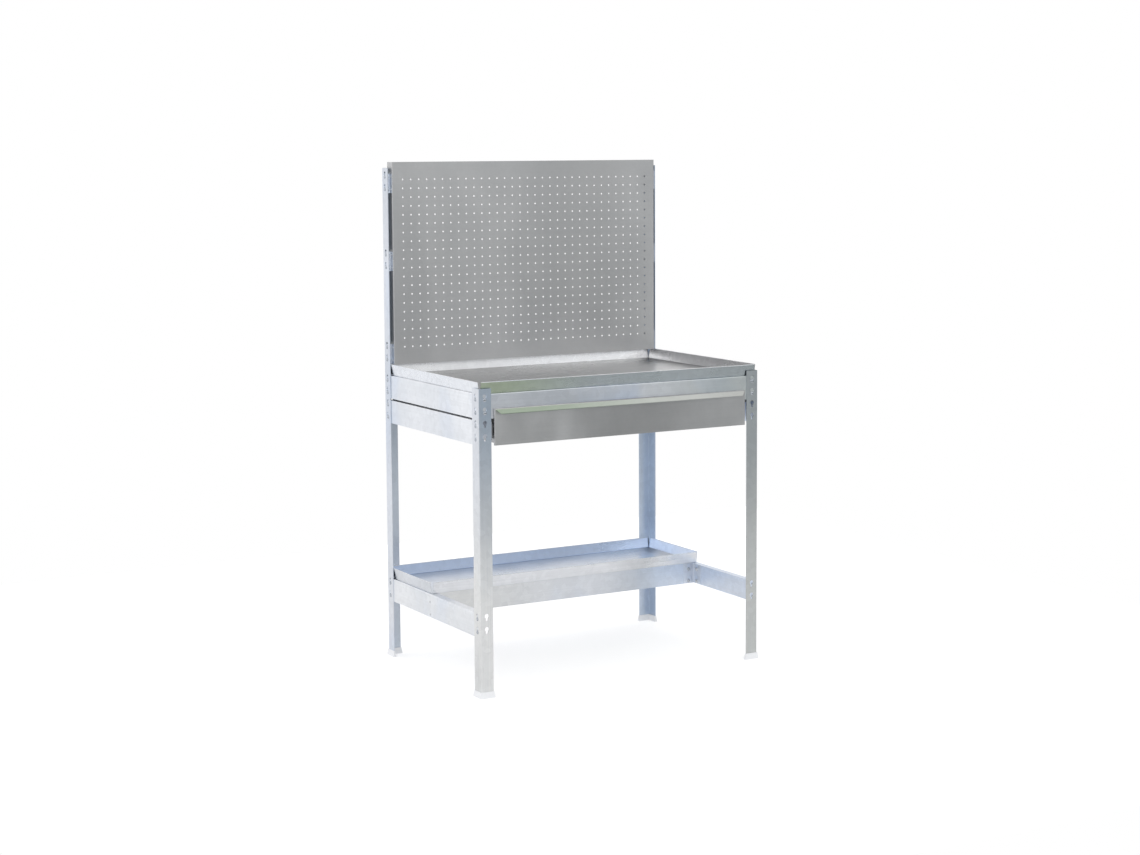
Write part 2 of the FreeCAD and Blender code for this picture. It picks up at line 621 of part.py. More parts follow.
def carrier(label, sign):
    """Plate that hangs from the drawer level beam and holds the slide."""
    item = body(label, "0", "-carrier_front", "0")
    top = "drawer_beam_top - beam_sheet"
    ring = [
        ("slide_wall", "carrier_base"), ("slide_wall + carrier_sheet", "carrier_base"),
        ("slide_wall + carrier_sheet", top + " - carrier_sheet"),
        ("slide_wall + carrier_reach", top + " - carrier_sheet"),
        ("slide_wall + carrier_reach", top), ("slide_wall", top)]
    section = sketch_on(item, "XZ_Plane", label + "_section")
    outline(section, [("%s * (%s)" % (sign, x), z) for x, z in ring])
    pad(item, section, "carrier_length", flip=True)
    ear = sketch_on(item, "XZ_Plane", label + "_ear")
    box_outline(ear, sign + " * slide_wall", sign + " * (slide_wall + carrier_sheet)",
                "tab_base", "tab_top")
    pad(item, ear, "tab_length", flip=True)
    tab = sketch_on(item, "XZ_Plane", label + "_tab")
    box_outline(tab, sign + " * tab_inner", sign + " * (slide_wall + carrier_sheet)",
                "tab_base", "tab_top")
    pad(item, tab, "carrier_sheet", flip=True)
    seat = sketch_on(item, "XZ_Plane", label + "_seat")
    circle(seat, sign + " * bumper_place", "bumper_level", "rivet_hole_radius")
    cut(item, seat, "carrier_sheet", flip=False)
    holes = sketch_on(item, "YZ_Plane", label + "_slide_holes")
    for k in range(3):
        circle(holes, "carrier_front - slide_start + slide_fixing_first"
               " + %d * slide_fixing_pitch" % k, "slide_level", "screw_hole_radius")
    cut(item, holes)
    row = sketch_on(item, "XY_Plane", label + "_rivet_holes", top)
    for place in CARRIER_RIVETS:
        circle(row, sign + " * carrier_rivet_place", "carrier_front + (%d)" % place,
               "rivet_hole_radius")
    cut(item, row, "carrier_sheet", flip=False)


def turned(name, profile):
    """Master for a turned fastener; radius along X, length along the axis Z."""
    item = doc.addObject("PartDesign::Body", name)
    sketch = sketch_on(item, "XZ_Plane", name + "_profile")
    outline(sketch, profile)
    feature = item.newObject("PartDesign::Revolution", name + "_turn")
    feature.Profile = sketch
    feature.ReferenceAxis = (sketch, ["V_Axis"])
    doc.recompute()
    return item


def spread(label, *groups):
    """Copies of turned masters, each with its own places, as the solids of one node."""
    copies = []
    for master, places in zip(groups[::2], groups[1::2]):
        for direction, x, y, z in places:
            solid = master.Shape.copy()
            lean = FreeCAD.Rotation(FreeCAD.Vector(0, 0, 1), FreeCAD.Vector(*direction))
            at = FreeCAD.Vector(x, y + value("bench_shift"), z)
            solid.transformShape(FreeCAD.Placement(at, lean).toMatrix(), True)
            copies.append(solid)
    item = doc.addObject("Part::Feature", label)
    item.Label = label
    item.Shape = Part.makeCompound(copies)
    nodes.append(item)


def side_places(x, rows):
    """Places on both long sides, each pointing outward."""
    return [((sign, 0, 0), sign * x, y, z) for sign in (-1, 1) for y, z in rows]


def stud_places(lugs, ends_x=(), sides=True):
    """Where studs sit: on side beams at front and rear, and on cross beams."""
    web_x = value("bench_width / 2 - post_sheet - beam_sheet")
    web_y = value("bench_depth / 2 - post_sheet - beam_sheet")
    reach_x = value("bench_width / 2 - key_inset")
    reach_y = value("bench_depth / 2 - key_inset")
    places = []
    if sides:
        places += side_places(web_x, [(y, z) for y in (-reach_y, reach_y) for z in lugs])
    for sign in ends_x:
        for x in (-reach_x, reach_x):
            places += [((0, sign, 0), x, sign * web_y, z) for z in lugs]
    return places


def lug_levels(*tops):
    return [value(text) for text in lug_pairs(*tops)]


def studs():
    stack = "beam_sheet + post_sheet"
    dome = "stud_head_radius * 0.65"
    stud = turned("stud_master", [
        ("0", "-1"), ("stud_tail_radius", "-1"), ("stud_tail_radius", "0"),
        ("stud_radius", "0"), ("stud_radius", stack), ("stud_head_radius", stack),
        ("stud_head_radius", stack + " + stud_head_height * 0.5"),
        (dome, stack + " + stud_head_height"), ("0", stack + " + stud_head_height")])
    places = stud_places(lug_levels("upper_beam_top - lug_drop"), (-1, 1))
    places += stud_places(lug_levels("drawer_beam_top - lug_drop"))
    places += stud_places(lug_levels("lower_beam_top - lug_drop"), (1,))
    cross_x = value("bench_width / 2 - post_sheet - beam_sheet - key_inset")
    web = value("middle_beam_front + beam_sheet")
    drops = lug_levels("lower_beam_top - bracket_drop")
    places += [((0, -1, 0), x, web, z) for x in (-cross_x, cross_x) for z in drops]
    joggle_x = value("bench_width / 2 - post_sheet - joggle_sheet")
    reach_y = value("bench_depth / 2 - key_inset")
    panel = lug_levels("panel_top_lug", "panel_middle_lug", "panel_bottom_lug")
    places += side_places(joggle_x, [(reach_y, z) for z in panel])
    spread("keyhole_studs", stud, places)
    bolt = turned("bolt_master", [
        ("0", "-bolt_head_height"), ("bolt_head_radius - 0.8", "-bolt_head_height"),
        ("bolt_head_radius", "0.8 - bolt_head_height"), ("bolt_head_radius", "0"),
        ("stud_radius", "0"), ("stud_radius", stack + " + bolt_tip"),
        ("0", stack + " + bolt_tip")])
    bracket_x = value("bench_width / 2 - post_sheet - beam_sheet - post_sheet")
    row = value("middle_beam_front - key_inset")
    spread("bracket_bolts", bolt, side_places(bracket_x, [(row, z) for z in drops]))


def rivet_profile(grip):
    """Two-headed rivet that closes a given grip above its lower head."""
    tall = "rivet_head_height"
    return [
        ("0", "-" + tall), ("rivet_head_radius * 0.6", "-" + tall),
        ("rivet_head_radius", "-%s * 0.4" % tall), ("rivet_head_radius", "0"),
        ("rivet_radius", "0"), ("rivet_radius", grip), ("rivet_head_radius", grip),
        ("rivet_head_radius", "%s + %s * 0.4" % (grip, tall)),
        ("rivet_head_radius * 0.6", "%s + %s" % (grip, tall)), ("0", "%s + %s" % (grip, tall))]


def screw_profile(length):
    """Pan head above the origin, plain shank below it."""
    return [
        ("0", "-(%s)" % length), ("screw_radius", "-(%s)" % length), ("screw_radius", "0"),
        ("screw_head_radius", "0"), ("screw_head_radius", "screw_head_height * 0.5"),
        ("screw_head_radius * 0.6", "screw_head_height"), ("0", "screw_head_height")]


def small_fixings():
    panel_rivet = turned("panel_rivet_master", rivet_profile("panel_sheet + joggle_sheet"))
    levels = lug_levels("panel_top_lug", "panel_middle_lug", "panel_bottom_lug")
    row = value("rivet_row")
    spread("panel_rivets", panel_rivet,
           side_places(value("panel_width / 2 - panel_sheet"), [(row, z) for z in levels]))
    carrier_rivet = turned("carrier_rivet_master",
                           rivet_profile("carrier_sheet + beam_sheet"))
    base = value("drawer_beam_top - beam_sheet - carrier_sheet")
    place = value("carrier_rivet_place")
    spread("carrier_rivets", carrier_rivet,
           [((0, 0, 1), sign * place, y, base) for sign in (-1, 1) for y in CARRIER_RIVETS])
    rows = []
    for k in range(3):
        step = "slide_fixing_first + %d * slide_fixing_pitch - slide_start" % k
        rows.append((value(step), value("slide_level")))
    slide_rivet = turned("slide_rivet_master", screw_profile("carrier_sheet + outer_gauge"))
    spread("slide_rivets", slide_rivet,
           side_places(value("slide_wall + carrier_sheet"), rows))
    slide_screw = turned("slide_screw_master", screw_profile("box_sheet + outer_gauge"))
    inside = value("box_half - box_sheet")
    slide_places = [((-sign, 0, 0), sign * inside, y, z)
                    for sign in (-1, 1) for y, z in rows]
    front_screw = turned("front_screw_master", screw_profile("front_screw_length"))
    wall = value("front_return - front_face + box_sheet")
    across = value("front_screw_place")
    heights = [value("front_screw_low"), value("front_screw_high")]
    front_places = [((0, 1, 0), sign * across, wall, z)
                    for sign in (-1, 1) for z in heights]
    spread("drawer_screws", slide_screw, slide_places, front_screw, front_places)
    bumper = turned("bumper_master", [
        ("0", "-bumper_neck"), ("bumper_neck_radius", "-bumper_neck"),
        ("bumper_neck_radius", "0"), ("bumper_radius", "0"),
        ("bumper_radius", "bumper_length - 1"), ("bumper_radius - 1", "bumper_length"),
        ("0", "bumper_length")])
    seat = -value("carrier_front")
    spread("drawer_bumpers", bumper,
           [((0, -1, 0), sign * value("bumper_place"), seat, value("bumper_level"))
            for sign in (-1, 1)])


def balls():
    """Ball rows between the slide members, eight in each race."""
    radius = value("ball_radius")
    for side, sign in (("left", -1), ("right", 1)):
        for kind in ("outer", "inner"):
            x = sign * (value("slide_wall") - value(kind + "_ball_line"))
            rise = value("%s_cage_half - cage_gauge / 2" % kind)
            solids = []
            for k in range(BALLS_PER_RACE):
                y = value("bench_shift - cage_start + ball_margin") + k * value("ball_pitch")
                for level in (-rise, rise):
                    at = FreeCAD.Vector(x, y, value("slide_level") + level)
                    solids.append(Part.makeSphere(radius, at))
            item = doc.addObject("Part::Feature", "%s_%s_balls" % (side, kind))
            item.Label = "%s_%s_balls" % (side, kind)
            item.Shape = Part.makeCompound(solids)
            nodes.append(item)


posts()
caps()
beams()
cross_brackets()
tray("worktop_tray", "worktop_depth", "0", "upper_beam_top")
tray("lower_tray", "lower_tray_depth", "lower_tray_centre", "lower_beam_top")
stiffeners()
tool_panel()
panel_edges()
panel_brackets("left_panel_brackets", "-1")
panel_brackets("right_panel_brackets", "1")
drawer_front()
drawer_box()
slides()
carrier("left_slide_carrier", "-1")
carrier("right_slide_carrier", "1")
studs()
small_fixings()
balls()
doc.recompute()

for thing in doc.Objects:
    if "Invalid" in thing.State or "Error" in thing.State:
        raise RuntimeError("%s is in state %s" % (thing.Label, thing.State))
for node in nodes:
    if node.Shape.isNull() or not node.Shape.isValid():
        raise RuntimeError("bad shape: " + node.Label)

os.makedirs("parts", exist_ok=True)
for node in nodes:
    node.Shape.exportStep("parts/%s.step" % node.Label)
print("%d nodes" % len(nodes))
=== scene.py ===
import bpy
import bmesh
import math
from mathutils import Matrix, Vector


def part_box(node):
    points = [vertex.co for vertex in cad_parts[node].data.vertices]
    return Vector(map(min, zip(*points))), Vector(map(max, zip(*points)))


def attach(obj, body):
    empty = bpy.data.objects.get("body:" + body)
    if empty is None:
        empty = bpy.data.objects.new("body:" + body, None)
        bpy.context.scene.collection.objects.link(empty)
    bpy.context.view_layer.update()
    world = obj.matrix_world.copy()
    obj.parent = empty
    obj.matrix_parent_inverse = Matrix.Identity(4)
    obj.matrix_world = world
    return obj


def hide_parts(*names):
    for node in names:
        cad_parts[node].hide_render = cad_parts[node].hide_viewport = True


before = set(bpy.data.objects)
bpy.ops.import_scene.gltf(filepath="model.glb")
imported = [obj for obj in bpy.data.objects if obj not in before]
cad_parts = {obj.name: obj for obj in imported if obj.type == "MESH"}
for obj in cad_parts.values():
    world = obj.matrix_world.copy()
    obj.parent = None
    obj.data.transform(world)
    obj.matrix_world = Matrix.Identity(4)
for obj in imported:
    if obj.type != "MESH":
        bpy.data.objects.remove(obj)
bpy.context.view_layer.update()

MM = 0.001
LEFT, RIGHT = "left", "right"


# ---------------------------------------------------------------- node helpers

class Value:
    """An output socket that can be used in plain arithmetic."""

    def __init__(self, graph, socket):
        self.graph = graph
        self.socket = socket

    def out(self, name):
        """Another output of the same node."""
        return Value(self.graph, self.socket.node.outputs[name])

    def __add__(self, other):
        return self.graph.math("ADD", self, other)

    def __radd__(self, other):
        return self.graph.math("ADD", other, self)

    def __sub__(self, other):
        return self.graph.math("SUBTRACT", self, other)

    def __rsub__(self, other):
        return self.graph.math("SUBTRACT", other, self)

    def __mul__(self, other):
        return self.graph.math("MULTIPLY", self, other)

    def __rmul__(self, other):
        return self.graph.math("MULTIPLY", other, self)

    def __truediv__(self, other):
        return self.graph.math("DIVIDE", self, other)

    def smooth(self, low, high):
        """0 below low, 1 above high, soft between."""
        return self.graph.node("ShaderNodeMapRange", {"interpolation_type": "SMOOTHSTEP"},
                               {"Value": self, "From Min": low, "From Max": high})


class Graph:
    """Builds nodes of a shader or geometry tree."""

    def __init__(self, tree):
        self.tree = tree

    def feed(self, socket, value):
        if isinstance(value, Value):
            self.tree.links.new(value.socket, socket)
        elif hasattr(value, "__len__") and len(value) == 3 and socket.type == "RGBA":
            socket.default_value = (*value, 1.0)
        else:
            socket.default_value = value

    def node(self, kind, settings=None, inputs=None, output=0):
        made = self.tree.nodes.new(kind)
        for name, value in (settings or {}).items():
            if name == "stops":
                self.set_stops(made.color_ramp, value)
            else:
                setattr(made, name, value)
        for name, value in (inputs or {}).items():
            self.feed(made.inputs[name], value)
        return Value(self, made.outputs[output])

    @staticmethod
    def set_stops(ramp, stops):
        while len(ramp.elements) < len(stops):
            ramp.elements.new(0.5)
        for element, (place, colour) in zip(ramp.elements, stops):
            element.position = place
            element.color = (*colour, 1.0)

    def math(self, operation, first, second):
        return self.node("ShaderNodeMath", {"operation": operation}, {0: first, 1: second})

    def mix(self, amount, first, second, blend="MIX"):
        """Mix two colours."""
        return self.node("ShaderNodeMix", {"data_type": "RGBA", "blend_type": blend},
                         {0: amount, 6: first, 7: second}, 2)

    def shaded(self, tone, shade):
        """A colour made darker or lighter by a plain number."""
        grey = self.node("ShaderNodeCombineColor", {}, {
            "Red": shade, "Green": shade, "Blue": shade})
        return self.mix(1.0, tone, grey, "MULTIPLY")


class Finish(Graph):
    """A material: its principled shader and the pattern nodes that feed it."""

    def __init__(self, name, **constants):
        self.material = bpy.data.materials.new(name)
        self.material.use_nodes = True
        super().__init__(self.material.node_tree)
        self.shader = self.tree.nodes["Principled BSDF"]
        for socket, value in constants.items():
            self.feed(self.shader.inputs[socket.replace("_", " ")], value)
        self.at = self.node("ShaderNodeTexCoord", output="Object")

    def scaled(self, x, y, z):
        """Object coordinates stretched along each axis."""
        return self.node("ShaderNodeMapping", {}, {"Vector": self.at, "Scale": (x, y, z)})

    def noise(self, scale, detail=2.0, where=None, rough=0.5):
        return self.node("ShaderNodeTexNoise", {}, {
            "Vector": where or self.at, "Scale": scale, "Detail": detail, "Roughness": rough})

    def cells(self, scale, where=None):
        """A random number for each crystal."""
        colour = self.node("ShaderNodeTexVoronoi", {}, {
            "Vector": where or self.at, "Scale": scale}, "Color")
        return self.node("ShaderNodeSeparateColor", {}, {"Color": colour}, "Red")

    def axis(self, name):
        return self.node("ShaderNodeSeparateXYZ", {}, {"Vector": self.at}, name)

    def bump(self, height, strength, distance, under=None):
        inputs = {"Height": height, "Strength": strength, "Distance": distance}
        if under:
            inputs["Normal"] = under
        return self.node("ShaderNodeBump", {}, inputs)

    def use(self, **sockets):
        for name, value in sockets.items():
            self.feed(self.shader.inputs[name.replace("_", " ")], value)
        return self.material


# ------------------------------------------------------------------ materials

def galvanised(name, dark, light, rough, grain, blue=0.3, cloud=3.0, films_and_painted_light=()):
    """Hot-dip zinc on sheet: soft spangle, rolling streaks and cloudy patches.

    dark, light: zinc colour in thin and bright patches; rough: mean roughness;
    grain: (x, y, z) stretch of the rolling streaks; blue: strength of the cool film;
    cloud: scale of the patches; films_and_painted_light: functions of the finish that give
    where a tone lies and its colour, mostly painted light, shade and reflection, on the lips
    also a film.
    """
    f = Finish(name, Metallic=1.0)
    patches = f.noise(cloud, 2.0, rough=0.5).smooth(0.25, 0.75)
    crystals = f.cells(SPANGLE)
    streaks = f.noise(1.0, 1.5, f.scaled(*grain))
    tone = f.mix(patches, dark, light)
    cool = f.noise(cloud * 1.7, 2.0, f.scaled(1.0, 1.3, 0.8)).smooth(0.45, 0.75)
    tone = f.mix(cool * blue, tone, (0.62, 0.73, 0.92))
    # Painted light, shade and reflection tones laid over the zinc, and the lips' film.
    for film_and_painted_light in films_and_painted_light:
        amount, colour = film_and_painted_light(f)
        tone = f.mix(amount * (0.80 + streaks * 0.4), tone, colour)
    shade = 1.0 - SPANGLE_TONE + crystals * (2.0 * SPANGLE_TONE) + (streaks - 0.5) * 0.10
    tone = f.shaded(tone, shade)
    roughness = rough + (patches - 0.5) * 0.08 + (streaks - 0.5) * 0.06
    relief = f.bump(f.noise(6.0, 0.0), 0.20, 2.0 * MM)
    return f.use(Base_Color=tone, Roughness=roughness, Normal=relief)


def zone(axis, rise, fall, amount=1.0):
    """How far a place lies between two soft edges; rise and fall are (from, to) in metres."""
    def strength(f):
        place = f.axis(axis)
        share = amount
        if rise:
            share = place.smooth(*rise) * share
        if fall:
            share = (1.0 - place.smooth(*fall)) * share
        return share
    return strength


def painted_light_band(axis, rise, fall, colour, amount=1.0, within=None):
    """A painted tone over a zone, for painted light, shade and reflection, kept to another
    zone if within is given.
    """
    reach = zone(axis, rise, fall, amount)

    def film_and_painted_light(f):
        share = reach(f)
        return (within(f) * share if within else share), colour
    return film_and_painted_light


def front_lip_film_and_reflection(f):
    """Yellow-green film and painted reflection along the tray's front lip: greenish at its
    left end, painted bluish-grey reflection to the right.
    """
    edge = WORKTOP_LOW[1] + 4.5 * MM
    lip = 1.0 - f.axis("Y").smooth(edge, edge + 3 * MM)
    film_and_reflection = f.mix(f.axis("X").smooth(-0.42, -0.05), (0.52, 0.60, 0.46), (0.56, 0.61, 0.65))
    return lip * 0.95, film_and_reflection


def painted_floor_shade(node, colour, amount, within=None):
    """Painted shade: a tray's floor painted darker than its lips."""
    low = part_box(node)[0][2] + TRAY_SHEET
    return painted_light_band("Z", None, (low, low + TRAY_SHEET), colour, amount, within)


def satin_sheet(name, dark, light, rough, grain, films_and_painted_light=()):
    """Even grey sheet with the soft clouds and fine rolling lines of cold zinc."""
    f = Finish(name, Metallic=0.85)
    patches = f.noise(2.6, 3.0, f.scaled(1.4, 1.0, 0.8), 0.6).smooth(0.30, 0.70)
    streaks = f.noise(1.0, 4.0, f.scaled(*grain), 0.7)
    tone = f.mix(patches, dark, light)
    # Painted shade and reflection tones laid over the sheet, and the pull lip's film.
    for film_and_painted_light in films_and_painted_light:
        amount, colour = film_and_painted_light(f)
        tone = f.mix(amount, tone, colour)
    shade = 0.98 + (f.cells(110.0) - 0.5) * 0.025 + (streaks - 0.5) * 0.08
    roughness = rough + (patches - 0.5) * 0.10 + (streaks - 0.5) * 0.12
    relief = f.bump(f.noise(5.0, 2.0), 0.3, 2.0 * MM)
    relief = f.bump(streaks, 0.08, 0.08 * MM, relief)
    return f.use(Base_Color=f.shaded(tone, shade), Roughness=roughness, Normal=relief)


def pull_lip_film_and_reflection(f):
    """Film and painted reflection on the drawer's folded pull lip: dark yellow-green on the
    left, pale on the right.
    """
    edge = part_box("drawer_front")[0][1] + 11.5 * MM
    lip = 1.0 - f.axis("Y").smooth(edge - 1 * MM, edge)
    film_and_reflection = f.mix(f.axis("X").smooth(-0.36, 0.30), (0.33, 0.39, 0.31), (0.60, 0.61, 0.59))
    return lip, film_and_reflection


def moulded_plastic(name, colour, shade, rough):
    """Moulded plastic with a faint eggshell grain and scuffs near the floor."""
    f = Finish(name, Specular_IOR_Level=0.5)
    clouds = f.noise(60.0, 2.0)
    height = f.axis("Z")
    scuffs = f.noise(220.0, 4.0, f.scaled(1.0, 1.0, 3.0), 0.7).smooth(0.58, 0.72)
    low = 1.0 - height.smooth(0.001, 0.012)
    tone = f.mix(clouds * 0.5 + scuffs * low * 0.6, colour, shade)
    roughness = rough + (clouds - 0.5) * 0.1 + scuffs * low * 0.2
    relief = f.bump(f.noise(1900.0, 2.0), 0.12, 0.05 * MM)
    relief = f.bump(scuffs * low, 0.2, 0.05 * MM, relief)
    return f.use(Base_Color=tone, Roughness=roughness, Normal=relief)


def turned_zinc(name, colour, shade, rough):
    """Small plated fixings: fine turned rings and slight wear."""
    f = Finish(name, Metallic=1.0)
    spots = f.noise(420.0, 3.0, rough=0.6)
    tone = f.mix(spots.smooth(0.35, 0.7), colour, shade)
    relief = f.bump(f.noise(2600.0, 1.0), 0.15, 0.04 * MM)
    return f.use(Base_Color=tone, Roughness=rough + (spots - 0.5) * 0.2, Normal=relief)


def rolled_slide(name, grain):
    """Bright zinc on rolled slide members, with lengthwise lines and a trace of grease."""
    f = Finish(name, Metallic=1.0)
    lines = f.noise(1.0, 4.0, f.scaled(*grain), 0.7)
    grease = f.noise(40.0, 3.0).smooth(0.52, 0.70)
    tone = f.mix(lines, (0.62, 0.64, 0.67), (0.80, 0.82, 0.85))
    tone = f.mix(grease * 0.25, tone, (0.55, 0.50, 0.38))
    relief = f.bump(lines, 0.12, 0.08 * MM)
    return f.use(Base_Color=tone, Roughness=0.30 + lines * 0.12 - grease * 0.10, Normal=relief)


ALONG_X, ALONG_Y, ALONG_Z = (4.0, 260.0, 260.0), (260.0, 4.0, 260.0), (260.0, 260.0, 4.0)
ZINC_DARK, ZINC_LIGHT = (0.70, 0.73, 0.78), (0.86, 0.88, 0.92)
# Painted sky reflection blue, and painted light from the pale floor.
PAINTED_SKY_BLUE, PAINTED_FLOOR_LIGHT = (0.62, 0.74, 0.94), (0.88, 0.87, 0.83)
SPANGLE, SPANGLE_TONE = 70.0, 0.035
TRAY_SHEET = 1.5 * MM
WORKTOP_LOW, WORKTOP_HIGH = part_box("worktop_tray")

# Soft edges between zones of the painted light and shade: the fold of the left posts, the
# right posts, the height where the posts' painted tones begin, the left part of the worktop's
# floor and the right part of the lower tray's.
FOLD_IN, FOLD_OUT = (-0.4490, -0.4482), (-0.4495, -0.4488)
RIGHT_POSTS = (0.30, 0.40)
UPPER_POSTS = (0.35, 0.80)
WORKTOP_LEFT = zone("X", None, (-0.30, 0.25))
LOWER_TRAY_RIGHT = zone("X", (0.05, 0.40), None)

# Painted light and shade on the front posts: paler near the floor, the upper part painted
# darker blue except the left posts' outer faces, painted lighter grey, and the right posts
# painted darker.
front_post_zinc = galvanised("front_post_zinc", ZINC_DARK, ZINC_LIGHT, 0.36, ALONG_Z, films_and_painted_light=(
    painted_light_band("Z", None, (0.30, 0.75), PAINTED_FLOOR_LIGHT, 0.6),
    painted_light_band("Z", UPPER_POSTS, None, (0.42, 0.51, 0.61), 0.73, zone("X", FOLD_IN, None)),
    painted_light_band("Z", UPPER_POSTS, None, (0.76, 0.77, 0.79), 0.45, zone("X", None, FOLD_OUT)),
    painted_light_band("X", RIGHT_POSTS, None, (0.52, 0.54, 0.53), 0.75)))
# Painted sky reflection on the rear posts: blue on the right post and on the left post's inner
# faces.
rear_post_zinc = galvanised("rear_post_zinc", ZINC_DARK, ZINC_LIGHT, 0.34, ALONG_Z, films_and_painted_light=(
    painted_light_band("X", RIGHT_POSTS, None, (0.56, 0.66, 0.80), 0.70),
    painted_light_band("X", (-0.4492, -0.4484), (-0.40, -0.35), (0.54, 0.61, 0.70), 0.68)))
# Painted sky reflection: the right side beams tinted sky blue.
side_beam_zinc = galvanised("side_beam_zinc", (0.82, 0.84, 0.87), (0.95, 0.96, 0.98), 0.36,
                            ALONG_Y, films_and_painted_light=(painted_light_band("X", RIGHT_POSTS, None, PAINTED_SKY_BLUE, 0.4),))
# Painted shade: the cross beams' right half darker and greener.
cross_beam_zinc = galvanised("cross_beam_zinc", ZINC_DARK, ZINC_LIGHT, 0.34, ALONG_X,
                             blue=0.45, cloud=4.0, films_and_painted_light=(
    painted_light_band("X", (0.0, 0.40), None, (0.63, 0.67, 0.64), 0.65),))
# Painted light and reflection on the middle beam: warm pale on its left, painted sky blue on
# its right.
middle_beam_zinc = galvanised("middle_beam_zinc", ZINC_DARK, ZINC_LIGHT, 0.34, ALONG_X,
                              cloud=4.0, films_and_painted_light=(
    painted_light_band("X", None, (-0.35, 0.10), (0.82, 0.81, 0.77), 0.6),
    painted_light_band("X", (0.10, 0.42), None, (0.68, 0.78, 0.93), 0.6)))
# Painted shade and light on the worktop tray: floor darker and darkest on the left, right lip
# darker, left and rear lips lighter, and the front lip's film and painted reflection.
tray_zinc = galvanised("tray_zinc", (0.76, 0.77, 0.78), (0.86, 0.87, 0.88), 0.28, ALONG_X,
                       blue=0.1, films_and_painted_light=(
    painted_floor_shade("worktop_tray", (0.61, 0.61, 0.61), 0.9),
    painted_light_band("X", (0.4350, 0.4365), None, (0.40, 0.40, 0.41), 0.95),
    painted_floor_shade("worktop_tray", (0.40, 0.40, 0.40), 0.85, WORKTOP_LEFT),
    painted_light_band("X", None, (WORKTOP_LOW[0] + 5.2 * MM, WORKTOP_LOW[0] + 6 * MM),
         (0.97, 0.98, 1.0), 0.8),
    painted_light_band("Y", (WORKTOP_HIGH[1] - 7 * MM, WORKTOP_HIGH[1] - 5 * MM), None,
         (0.90, 0.90, 0.90), 0.8),
    front_lip_film_and_reflection))
# Painted shade and reflection on the lower tray: floor darker on the right, rear lip painted
# sky blue, front lip painted paler from the floor.
lower_tray_zinc = galvanised("lower_tray_zinc", (0.68, 0.71, 0.75), (0.80, 0.82, 0.86), 0.30,
                             ALONG_X, cloud=4.5, blue=0.15, films_and_painted_light=(
    painted_floor_shade("lower_tray", (0.60, 0.62, 0.65), 0.7, LOWER_TRAY_RIGHT),
    painted_light_band("Y", (0.290, 0.296), None, (0.44, 0.55, 0.75), 0.8),
    painted_light_band("Y", None, (0.018, 0.022), (0.88, 0.89, 0.92), 0.8)))
bead_zinc = galvanised("bead_zinc", (0.88, 0.89, 0.90), (0.96, 0.96, 0.97), 0.26, ALONG_X)
small_sheet_zinc = galvanised("small_sheet_zinc", ZINC_DARK, ZINC_LIGHT, 0.38, ALONG_Z)
# Painted shade: a darker vertical band just right of the panel's middle.
panel_sheet = satin_sheet("panel_sheet", (0.55, 0.55, 0.55), (0.62, 0.62, 0.62), 0.42,
                          ALONG_X, films_and_painted_light=(painted_light_band("X", (-0.1, 0.12), (0.25, 0.4),
                                                (0.48, 0.48, 0.48), 0.5),))
# Painted shade: a darker band across the middle of the drawer front; the pull lip's film and
# painted reflection.
drawer_sheet = satin_sheet("drawer_sheet", (0.52, 0.52, 0.52), (0.66, 0.66, 0.66), 0.34,
                           ALONG_X, films_and_painted_light=(
    painted_light_band("X", (-0.22, -0.02), (0.10, 0.28), (0.38, 0.38, 0.38), 0.65), pull_lip_film_and_reflection))
foot_plastic = moulded_plastic("foot_plastic", (0.97, 0.98, 1.0), (0.92, 0.93, 0.95), 0.42)
bumper_black = moulded_plastic("bumper_black", (0.02, 0.02, 0.02), (0.05, 0.05, 0.05), 0.6)
# Stud heads painted darker than the other fixings, standing in for the shade inside the
# keyholes.
stud_zinc = turned_zinc("stud_zinc", (0.55, 0.58, 0.62), (0.42, 0.45, 0.49), 0.22)
fixing_zinc = turned_zinc("fixing_zinc", (0.86, 0.87, 0.88), (0.62, 0.63, 0.65), 0.26)
ball_bright = turned_zinc("ball_bright", (0.85, 0.85, 0.87), (0.75, 0.75, 0.77), 0.12)
slide_zinc = rolled_slide("slide_zinc", ALONG_Y)


def finish_of(node):
    """The finish each carried-over sheet or fixing takes."""
    for words, finish in (
            (("_cap",), foot_plastic), (("balls",), ball_bright),
            (("bumper",), bumper_black),
            (("studs", "bolts", "rivets", "screws"), fixing_zinc),
            (("slide_outer", "slide_middle", "slide_inner", "cage"), slide_zinc),
            (("tool_panel", "panel_top", "panel_bottom", "panel_edge"), panel_sheet),
            (("drawer_beam",), side_beam_zinc), (("drawer_",), drawer_sheet),
            (("worktop_tray",), tray_zinc), (("lower_tray",), lower_tray_zinc),
            (("middle_beam",), middle_beam_zinc),
            (("front_upper_beam", "rear_upper_beam", "rear_lower_beam"), cross_beam_zinc),
            (("_beam",), side_beam_zinc), (("front_left_post", "front_right_post"),
                                          front_post_zinc), (("_post",), rear_post_zinc)):
        if any(word in node for word in words):
            return finish
    return small_sheet_zinc


for name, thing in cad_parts.items():
    thing.data.materials.clear()
    thing.data.materials.append(finish_of(name))


# --------------------------------------------------------------- detail pieces

STUD_HEAD = 1.7 * MM
PEG_COLUMNS, PEG_ROWS, PEG_PITCH, PEG_FIRST = 33, 20, 25.4 * MM, 50.2 * MM
LIP_END = 7.4 * MM
SOFT_EDGE, FLAT_ANGLE, EDGE_ANGLE = 0.7 * MM, math.radians(2), math.radians(35)


